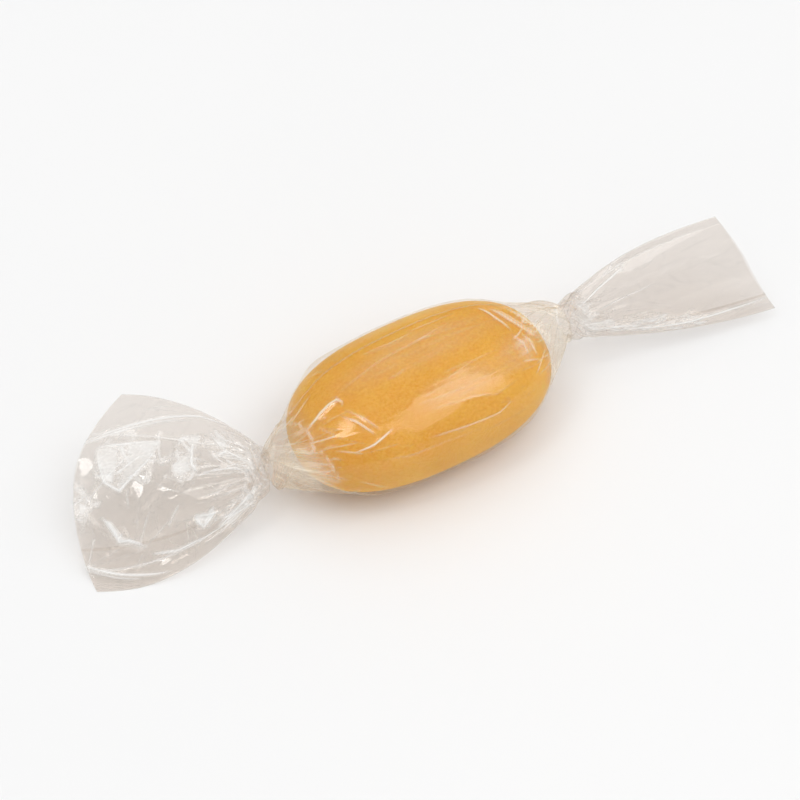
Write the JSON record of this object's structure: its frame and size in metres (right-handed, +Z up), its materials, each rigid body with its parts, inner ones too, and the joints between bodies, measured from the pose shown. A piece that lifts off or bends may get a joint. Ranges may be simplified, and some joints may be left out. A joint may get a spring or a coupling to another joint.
{
  "type": "wrapped caramel candy",
  "caption": "Hard caramel sweet shaped as an oblong pillow, in a clear film wrapper that is twisted and fanned out at both ends.",
  "frame": {"origin": "on the table under the middle of the sweet, in the flat spot that it rests on", "axes": "+X along the sweet towards the narrower, smoother fan, +Z up"},
  "size_m": [0.0761, 0.0208, 0.0127],
  "materials": {
    "caramel": "smooth, softly glossy, slightly translucent amber",
    "clear_film": "thin clear glossy film, creased at the twists"
  },
  "bodies": {
    "root": {"sweet": "caramel", "wrapper": "clear_film"}
  },
  "joints": []
}
